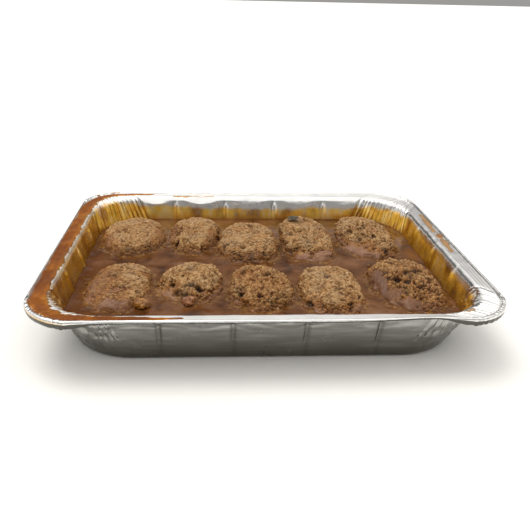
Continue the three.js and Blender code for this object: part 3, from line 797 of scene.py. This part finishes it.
def buildPatty(number, name, look):
    look = {**usual, **look}
    piece = formOf("patty_" + name + "_mince", "patty_" + name, formMesh["voxel"])
    points, normals = pointsOf(piece), normalsOf(piece)
    seed = 100 + 20 * number
    z = points[:, 2]
    longer, angle = look["fibre"]
    fibre = (math.cos(math.radians(angle)), math.sin(math.radians(angle)), 0)
    along = points @ np.array(fibre)
    stretched = points - np.outer(along * (1 - 1 / longer), fibre)
    warp = [swells(stretched, 4, seed + k) + 0.45 * swells(stretched, 1.6, seed + k) for k in range(3)]
    warp = np.stack(warp, axis=1)
    q = stretched + 0.9 * warp

    # clods, crumbs and grains, with gaps between them
    clods = np.abs(swells(q, 3.0 * look["grain"], seed + 3)) - 0.35
    first, second, shade = granules(q, look["grain"], seed + 4)
    fine, nextFine, fineShade = granules(q + 0.3 * warp, 0.55 * look["grain"], seed + 5)
    gaps = 1 - smoothStep(0.0, 0.28, second - first)
    fineGaps = 1 - smoothStep(0.0, 0.3, nextFine - fine)
    rugged = 0.6 + 0.7 * smoothStep(-0.5, 0.6, swells(points, 13, seed + 6))
    small = 1.1 * (0.5 - first) - 0.5 * gaps + 0.6 * (0.5 - fine) - 0.3 * fineGaps + 0.7 * (shade - 0.5)

    # where gravy coats the meat: low down, in the listed places, and running off along the fibres
    ragged = 0.45 * swells(stretched, 6, seed + 7) + 0.25 * swells(stretched, 2.6, seed + 8)
    above = z - gravyLine - 3 * ragged - 3 * swells(points, 12, seed + 13)
    above += 3 * smoothStep(8, 24, points[:, 1] - points[:, 1].mean())
    film = np.maximum(1 - smoothStep(0.4, 3.8, above), 0.6 * (1 - smoothStep(2, 9, above)))
    for *oval, dense in look["coats"]:
        film = np.maximum(film, dense * (1 - smoothStep(0.5, 1.25, awayFrom(points, *oval) + 0.7 * ragged)))
    coated = smoothStep(0.4, 0.95, film)

    # relief: bulges at the sides, pits, small holes and short cracks along the fibres
    side = 1 - smoothStep(0.3, 0.9, normals[:, 2])
    bulges = 2.2 * swells(points * (1, 1, 0.5), 11, seed + 9) + 1.3 * swells(points, 4.6, seed + 10)
    height = look["relief"] * (rugged * (1.1 * clods + 1.2 * small) + 0.6 * swells(points, 8, seed + 11))
    height += 0.8 * swells(points, 17, seed + 14)
    height = height * (1 - 0.75 * coated) + 0.25 * coated + bulges * side * (0.5 + 0.6 * look["relief"])
    holes = np.zeros(len(points))
    for x, y, radius, depth in look["pits"]:
        shifted = points[:, :2] + 1.5 * warp[:, :2]
        away = np.hypot(shifted[:, 0] - x, (shifted[:, 1] - y) * 0.75) / radius
        holes = np.maximum(holes, depth * 0.8 * (1 - smoothStep(0.1, 1.1, away + 1.5 * ragged)))
    sprinkled = smoothStep(0.45, 0.7, swells(q, 2.3, seed + 12) + 0.15 * look["holes"]) * (1 - film)
    holes = np.maximum(holes, 1.3 * look["holes"] * sprinkled * smoothStep(21, 25, z))
    long = points - np.outer(along * 0.7, fibre) + 0.7 * warp
    cracks = 1 - smoothStep(0.02, 0.13, np.abs(swells(long, 5.5, seed + 15)))
    cracks *= look["cracks"] * smoothStep(0.0, 0.3, swells(points, 9, seed + 16)) * (1 - coated)
    height -= holes * 1.15 + 0.9 * cracks
    for morsel in morselNodes:  # the meat gives way under a loose piece
        low, high = (np.array(corner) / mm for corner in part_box(morsel))
        middle, half = (low + high) / 2, (high - low) / 2
        beside = smoothStep(0.7, 1.3, awayFrom(points, middle[0], middle[1] - 2, half[0] + 1.5, half[1] + 3))
        height = height * beside - 1.3 * (1 - beside)
    setPoints(piece, points + normals * (height * smoothStep(10, 18, z))[:, None])

    # painted shade and light: the colour follows the relief, darker in gaps, cracks and pits and lighter on
    # raised crumbs
    level = 0.74 + look["contrast"] * (0.66 * rugged * small + 0.22 * clods) - look["darker"]
    level -= 0.5 * cracks
    level = np.where(holes > 0.2, np.minimum(level, 0.45 - 0.25 * holes), level)
    # under gravy the tone is how pale the coat is, set per patty as painted sheen
    tone = np.clip(fineShade - look["grey"] * 0.2, 0, 1) * (1 - coated) + look["milkyAndSheen"] * coated
    setLayer(piece, "crumb", np.clip(level, 0, 1), np.clip(film, 0, 1), tone)
    piece.data.materials.append(mince)
    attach(piece, "root")
    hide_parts("patty_" + name)
    return piece


pattyPieces = [buildPatty(i, *item) for i, item in enumerate(patties.items())]
print("patties:", sum(len(p.data.polygons) for p in pattyPieces), "faces")


# Gravy up to its level, drawn up a little at the walls and at the meat

pool = {
    "level": gravyLine,
    "grid": 1.3,  # mm between points
    "meniscus": 1.0,  # mm that it climbs
    "reach": 1.6,  # mm over which that dies away
    "wave": 0.45,
    "skirt": [(12, 22.6), (5, 25), (1.2, 30)],  # height and inset of the rings that carry the edge down
    # x, y, half width, half length and rise of gravy heaped on what lies under it
    "mounds": [(93, 11, 10, 6, 2.2), (36, 3, 15, 5, 1.6), (-70, -63, 9, 9, 1.5), (-20, 14, 14, 5, 0.9),
               (92, -80, 14, 7, 1.6), (-112, -84, 24, 5, 1.5), (-48, -80, 14, 4, 0.8), (70, 20, 8, 9, 0.9),
               (-143, 14, 4, 2.4, 0.8), (-136, -22, 3.4, 2.4, 0.8), (-130, -49, 3, 3, 0.7),
               (-125, -71, 7, 3, 0.9), (-60, 8, 16, 3, 0.8), (4, -2, 16, 3, 0.7), (-138, 36, 3, 2, 0.6)],
}


def planTree(points):
    # for finding the nearest of some points in plan
    tree = KDTree(len(points))
    for i, (x, y, *_) in enumerate(points):
        tree.insert((x, y, 0), i)
    tree.balance()
    return tree


def nearest(tree, points):
    found = [tree.find((x, y, 0)) for x, y, *_ in points]
    return np.array([index for _, index, _ in found]), np.array([distance for _, _, distance in found])


def wallLine(z):
    # middle of the foil at one height, clear of its ribs, as plan points, with outward directions
    share = (z - tray["thickness"]) / (shoulderHeight - tray["thickness"])
    points, facing = trayPoint(tray["baseInset"] - (tray["baseInset"] - tray["mouthInset"]) * share, z)
    points[:, :2] += facing * (ribsBeside - ribs)[:, None]
    return points, facing


def buildGravy():
    line, facing = wallLine(pool["level"] + 0.8)
    wall = planTree(line)
    touching = [pointsOf(piece) for piece in pattyPieces]
    meat = planTree(np.concatenate([p[np.abs(p[:, 2] - pool["level"] - 0.3) < 0.5] for p in touching]))

    half = [tray["length"] / 2 - tray["mouthInset"], tray["width"] / 2 - tray["mouthInset"]]
    xs, ys = (np.arange(-reach, reach + pool["grid"], pool["grid"]) for reach in half)
    plan = np.array([(x, y) for y in ys for x in xs])
    near, _ = nearest(wall, plan)
    beyond = np.einsum("ij,ij->i", plan - line[near, :2], facing[near])
    inside = beyond < 0
    faces = [face for face in gridFaces(len(ys), len(xs), closed=False) if any(inside[list(face)])]
    flat = np.column_stack([np.where(inside[:, None], plan, line[near, :2]), np.zeros(len(plan))])
    _, toMeat = nearest(meat, flat)
    z = pool["level"] + pool["wave"] * swells(flat, 24, 301) + 0.2 * swells(flat, 8, 302)
    z += pool["meniscus"] * np.exp(-toMeat / pool["reach"])
    z += 0.6 * np.exp(-toMeat / 4) * (np.abs(swells(flat, 3.2, 305)) - 0.2)
    z += 0.8 * np.exp(np.minimum(beyond, 0) / pool["reach"])
    for x, y, halfX, halfY, rise in pool["mounds"]:
        away = ((flat[:, 0] - x) / halfX) ** 2 + ((flat[:, 1] - y) / halfY) ** 2
        z += rise * np.exp(-away * 1.3) * (0.75 + 0.5 * swells(flat, 6, 303))
    flat[:, 2] = z

    # carry the edge down along the wall and close it over the floor
    used, faces = onlyUsed(faces)
    mesh = bmesh.new()
    vertices = [mesh.verts.new(p) for p in flat[used]]
    for face in faces:
        mesh.faces.new([vertices[i] for i in face])
    bmesh.ops.remove_doubles(mesh, verts=mesh.verts, dist=0.05)
    bmesh.ops.dissolve_degenerate(mesh, edges=mesh.edges, dist=0.02)
    edge = [e for e in mesh.edges if len(e.link_faces) == 1]
    above = wall
    for height, inset in pool["skirt"]:
        ring, _ = trayRing(inset)
        grown = bmesh.ops.extrude_edge_only(mesh, edges=edge)["geom"]
        moving = [g for g in grown if isinstance(g, bmesh.types.BMVert)]
        places, _ = nearest(above, [vertex.co for vertex in moving])
        for vertex, place in zip(moving, places):
            vertex.co = (ring[place][0], ring[place][1], height)
        edge = [g for g in grown if isinstance(g, bmesh.types.BMEdge) and len(g.link_faces) == 1]
        above = planTree(ring)
    bmesh.ops.contextual_create(mesh, geom=edge)
    bmesh.ops.recalc_face_normals(mesh, faces=mesh.faces)
    bmesh.ops.scale(mesh, vec=(mm, mm, mm), verts=mesh.verts)
    data = bpy.data.meshes.new("gravyPool")
    mesh.to_mesh(data)
    mesh.free()
    piece = addObject("gravyPool", data)
    shadeSmooth(data)

    points = pointsOf(piece)
    _, toMeat = nearest(meat, points)
    _, toWall = nearest(wall, points)
    leftwards = smoothStep(-80, -135, points[:, 0] + 0.25 * points[:, 1])
    fat = 0.7 * np.exp(-toMeat / 4) + (0.5 + 0.5 * leftwards) * np.exp(-toWall / (5 + 16 * leftwards))
    fat *= 0.8 + 0.5 * swells(points, 12, 306)
    strewn = 0.9 * np.exp(-toMeat / 2.6) * (0.9 + 0.6 * swells(points, 7, 307))
    setLayer(piece, "pool", np.clip(fat, 0, 1), np.clip(strewn, 0, 1))
    data.materials.append(brownGravy)
    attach(piece, "root")
    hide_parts("gravy")
    return piece


poolPiece = buildGravy()
print("gravy:", len(poolPiece.data.polygons), "faces")


# Gravy smeared over the flange. Each run is a path in plan with its half width; thick in mm; red: how
# far it has gone from orange to red-brown; milky: how pale it has dried

smears = {
    "left": dict(
        path=[(-58, -126.3, 0.9), (-70, -126.2, 1.8), (-88, -126, 3.4), (-112, -126, 4.5),
              (-135, -123.6, 5.4), (-146.2, -115.1, 5.9), (-153.5, -102.3, 6), (-156, -86, 5.8),
              (-156, 0, 5.7), (-156, 86, 5.5), (-153.6, 104.3, 5.2), (-147.5, 117, 4.2), (-137, 125, 3.8),
              (-120, 127.2, 3), (-98, 127.4, 1.4)],
        thick=0.6, red=0.38, milkyAndSheen=0.03),
    "back": dict(path=[(-77, 122, 1.6), (-55, 122, 2), (-37, 122, 1.5)], thick=0.2, red=0, milkyAndSheen=0.8),
    "right": dict(path=[(157.5, 68, 1.6), (157, 55, 2.6), (156.5, 40, 2.6), (155.5, 24, 1.8)],
                  thick=0.12, red=0, milkyAndSheen=0.85),
    "rightDrop": dict(path=[(157.2, 17, 3), (156.8, 12, 3)], thick=0.5, red=0.8, milkyAndSheen=0.35),
    "rightTail": dict(path=[(156.5, 6, 2.6), (156, -8, 2.4), (155, -20, 1.2)], thick=0.1, red=0, milkyAndSheen=0.8),
    "corner": dict(path=[(130, -117.2, 1.6), (134, -115.6, 1.6)], thick=0.15, red=0, milkyAndSheen=1),
}
smearGrid = {"from": 1.7, "to": 15.4, "lines": 36, "bareCrest": 0.03}  # insets in mm, and mm below the top


def buildSmear(name, look):
    flange = profile[:rollCrest][profile[:rollCrest, 1] > shoulderHeight - 16][::-1]
    insets = np.linspace(smearGrid["from"], smearGrid["to"], smearGrid["lines"])
    heights = np.interp(insets, flange[:, 0], flange[:, 1])
    rings = np.array([trayPoint(inset, height, 0.25)[0] for inset, height in zip(insets, heights)])
    flat = rings.reshape(-1, 3)
    cover = np.full(len(flat), -9.0)
    path = np.array(look["path"], dtype=float)
    for (x0, y0, w0), (x1, y1, w1) in zip(path, path[1:]):
        run = np.array([x1 - x0, y1 - y0])
        share = np.clip(((flat[:, :2] - (x0, y0)) @ run) / (run @ run), 0, 1)
        away = np.linalg.norm(flat[:, :2] - (x0, y0) - share[:, None] * run, axis=1)
        cover = np.maximum(cover, 1 - away / (w0 + share * (w1 - w0)))
    cover += 0.25 * swells(flat, 11, 401) + 0.3 * swells(flat, 4, 402)
    body = 0.5 + 0.9 * swells(flat, 16, 403) + 0.5 * swells(flat, 5, 404)
    outer = np.repeat(np.linspace(1, 0, smearGrid["lines"]), rings.shape[1])
    film = np.clip(cover * 1.8, -1, 1) * look["thick"] * np.clip(0.9 * body + 0.7 * outer, 0.15, 1.4)
    lift = np.where(cover > 0, film, np.maximum(film, -0.25)) + tray["thickness"] / 2
    moved = flat + np.column_stack([np.zeros((len(flat), 2)), lift])
    moved[:, 2] = np.minimum(moved[:, 2], tray["height"] - smearGrid["bareCrest"])
    used, faces = onlyUsed([face for face in gridFaces(*rings.shape[:2]) if max(cover[list(face)]) > 0])
    piece = meshPiece("gravySmear_" + name, moved[used], faces)
    forward = smoothStep(40, -60, flat[used, 1])
    red = look["red"] * (0.35 + 0.65 * forward)
    setLayer(piece, "film", np.clip(film[used] / 0.6, 0, 1), red, look["milkyAndSheen"])
    piece.data.materials.append(thinGravy)
    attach(piece, "root")
    return piece


smearPieces = [buildSmear(*item) for item in smears.items()]
print("smears:", sum(len(p.data.polygons) for p in smearPieces), "faces")


# Loose pieces: an amber lump of onion, a brown lump of gristle and a thin dark slice on the meat

morsels = {
    "morsel_front_1": dict(
        title="fried onion", colours=("4e2b0a", "80501a", "b4823c"), roughness=0.22, clear=0.2, relief=1.0,
        grow=(1.05, 1, 1), shift=(0, 0, 0), slot="morsel"),
    "morsel_front_2": dict(
        title="stewed beef gristle", colours=("4a2815", "8a5632", "bd8e68"), roughness=0.25, clear=0.2,
        relief=1.1, grow=(1.1, 1, 0.95), shift=(0, 0, 0), slot="morsel"),
    "morsel_back_4": dict(
        title="stewed mushroom skin", colours=("221d13", "403724", "78664a"), roughness=0.5, clear=0,
        relief=0.4, grow=(1.3, 1.3, 1.1), shift=(0, -2, 0.9), slot="fleck"),
}
morselGrain = {"mesh": 0.8, "patch": 5, "fine": 1.2}  # mm between vertices, patches of colour and grains


def morselMaterial(look):
    material, add, place, _ = newMaterial(look["title"])
    patch = add("TexNoise", place, perMetre(morselGrain["patch"]), 4.0, 0.6)
    tone = add("ValToRGB", patch, stops=zip((0.32, 0.5, 0.72), look["colours"]))
    fine = add("TexNoise", place, perMetre(morselGrain["fine"]), 3.0)
    bump = add("Bump", {"Strength": 0.5, "Distance": 0.2 * mm, "Height": fine})
    body = add("BsdfPrincipled", {
        "Base Color": tone, "Normal": bump, "Roughness": look["roughness"], "IOR": 1.4,
        "Subsurface Weight": look["clear"], "Subsurface Radius": (1.0, 0.5, 0.2),
        "Subsurface Scale": 1.5 * mm})
    add("OutputMaterial", body)
    return material


def buildMorsel(number, name, look):
    piece = formOf(name + "_piece", name, morselGrain["mesh"])
    points, normals = pointsOf(piece), normalsOf(piece)
    seed = 500 + 10 * number
    height = swells(points, 3.4, seed) + 0.5 * swells(points, 1.6, seed + 1)
    height = height - 0.6 * np.abs(swells(points, 5, seed + 2))
    middle = points.mean(axis=0)
    points = middle + (points - middle) * look["grow"] + look["shift"]
    setPoints(piece, points + normals * (look["relief"] * height)[:, None])
    piece.data.materials.append(morselMaterial(look))
    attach(piece, "root")
    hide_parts(name)
    return piece


morselPieces = [buildMorsel(i, *item) for i, item in enumerate(morsels.items())]
print("morsels:", sum(len(p.data.polygons) for p in morselPieces), "faces")


# Crumbs that came off the mince, half sunk in the gravy along the edges of the patties

crumbs = {"each": 34, "seed": 8, "smallest": 0.4, "largest": 1.5, "spread": 7}  # number, then mm


def buildCrumbs():
    rng = np.random.default_rng(crumbs["seed"])
    ball = bmesh.new()
    bmesh.ops.create_icosphere(ball, subdivisions=2, radius=1)
    shape = np.array([tuple(v.co) for v in ball.verts])
    sides = [tuple(v.index for v in face.verts) for face in ball.faces]
    ball.free()
    points, faces, levels, films = [], [], [], []
    for piece in pattyPieces:
        edge = pointsOf(piece)
        edge = edge[np.abs(edge[:, 2] - gravyLine - 0.6) < 0.6]
        middle = edge.mean(axis=0)
        for spot in edge[rng.integers(0, len(edge), crumbs["each"])]:
            size = crumbs["smallest"] + (crumbs["largest"] - crumbs["smallest"]) * rng.random() ** 2.2
            away = (spot - middle) * (1, 1, 0)
            away /= np.linalg.norm(away)
            spot = spot + away * (rng.random() ** 1.8 * crumbs["spread"] - 0.4)
            spot[2] = gravyLine + 0.2 + size * rng.uniform(-0.3, 0.3)
            turn, _ = np.linalg.qr(rng.normal(size=(3, 3)))
            lump = shape * size * rng.uniform(0.8, 1.2, 3) @ turn + spot
            lump += shape @ turn * (0.3 * size * swells(lump, 1.1 * size + 0.3, 601))[:, None]
            faces += [tuple(i + len(points) * len(shape) for i in side) for side in sides]
            points.append(lump)
            levels.append(np.full(len(shape), rng.uniform(0.3, 0.75)))
            films.append(np.clip(1.1 - (lump[:, 2] - gravyLine) / (1.6 * size), 0.35, 1))
    piece = meshPiece("mince_crumbs", np.concatenate(points), faces)
    setLayer(piece, "crumb", np.concatenate(levels), np.concatenate(films), 0.7)
    piece.data.materials.append(mince)
    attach(piece, "root")
    return piece


crumbPiece = buildCrumbs()
print("crumbs:", len(crumbPiece.data.polygons), "faces")


# Studio: pale floor, soft light from a bright ceiling and two side panels over duller walls, camera

camera = {
    "place": (-38.06, -457.72, 228.84),  # mm
    "yaw": 0.0593,  # radians, like the next two
    "pitch": 0.4253,
    "roll": 0.0223,
    "focal": 601.3,  # pixels, in a picture 530 wide
    "width": 530,
    "centre": (245, 265),
}
studio = {
    "floor": 20000,  # mm to each side, so that no edge of it shows
    "paper": "f4f4f2",
    "light": "fdfaf6",
    "walls": (0.12, 0.34),  # brightness low down on the left and on the right
    "wallEdge": (-0.25, 0.08),  # how far sideways the one turns to the other
    "ceiling": 1.34,
    "edge": (0.41, 0.62),  # sine of the elevations between which walls turn to ceiling
    "panels": 0.8,  # brightness of a white panel on the left and one on the right
    "panelEdge": (0.45, 0.85),  # how far sideways they begin
    "lampAngle": 34,  # degrees across, as wide as a large soft box close by
    "lampPower": 1.02,
    "lampFrom": (-0.3, 0.22, 1.0),
}


def buildFloor():
    half = studio["floor"]
    corners = [(-half, -half, 0), (half, -half, 0), (half, half, 0), (-half, half, 0)]
    floor = meshPiece("floor", corners, [(0, 1, 2, 3)])
    material, add, _, _ = newMaterial("matt white paper sweep")
    add("OutputMaterial", add("BsdfPrincipled", {"Base Color": studio["paper"], "Roughness": 0.85}))
    floor.data.materials.append(material)


def buildLight():
    world = bpy.data.worlds.new("studio")
    world.use_nodes = True
    add = partial(addNode, world.node_tree)
    axes = add("SeparateXYZ", add("TexCoord").outputs["Generated"]).outputs
    walls = add("MapRange", axes["X"], *studio["wallEdge"], *studio["walls"])
    soft = {"interpolation_type": "SMOOTHSTEP"}
    bright = add("MapRange", axes["Z"], *studio["edge"], walls, studio["ceiling"], **soft)
    across = add("Math", axes["X"], operation="ABSOLUTE")
    panels = add("MapRange", across, *studio["panelEdge"], 0.0, studio["panels"], **soft)
    most = add("Math", bright, panels, operation="MAXIMUM")
    background = world.node_tree.nodes["Background"]
    background.inputs["Color"].default_value = linear(studio["light"])
    world.node_tree.links.new(most.outputs[0], background.inputs["Strength"])
    bpy.context.scene.world = world

    light = bpy.data.lights.new("soft box above", "SUN")
    light.angle = math.radians(studio["lampAngle"])
    light.energy = studio["lampPower"]
    light.color = linear(studio["light"])[:3]
    lamp = addObject("soft box above", light)
    lamp.location = studio["lampFrom"]
    lamp.rotation_euler = (-Vector(studio["lampFrom"])).to_track_quat("-Z", "Y").to_euler()


def buildCamera():
    view = bpy.data.cameras.new("camera")
    view.sensor_width = 36
    view.lens = camera["focal"] / camera["width"] * view.sensor_width
    middle = camera["width"] / 2
    view.shift_x = (middle - camera["centre"][0]) / camera["width"]
    view.shift_y = (camera["centre"][1] - middle) / camera["width"]
    yaw, pitch, roll = camera["yaw"], camera["pitch"], camera["roll"]
    ahead = Vector((math.sin(yaw) * math.cos(pitch), math.cos(yaw) * math.cos(pitch), -math.sin(pitch)))
    right = Vector((math.cos(yaw), -math.sin(yaw), 0))
    up = right.cross(ahead)
    turned = right * math.cos(roll) + up * math.sin(roll)
    upright = up * math.cos(roll) - right * math.sin(roll)
    rig = addObject("camera", view)
    rig.matrix_world = Matrix([*zip(turned, upright, -ahead, Vector(camera["place"]) * mm), (0, 0, 0, 1)])
    bpy.context.scene.camera = rig


buildFloor()
buildLight()
buildCamera()
bpy.context.scene.view_settings.view_transform = "Standard"
print("studio: floor, light and camera")
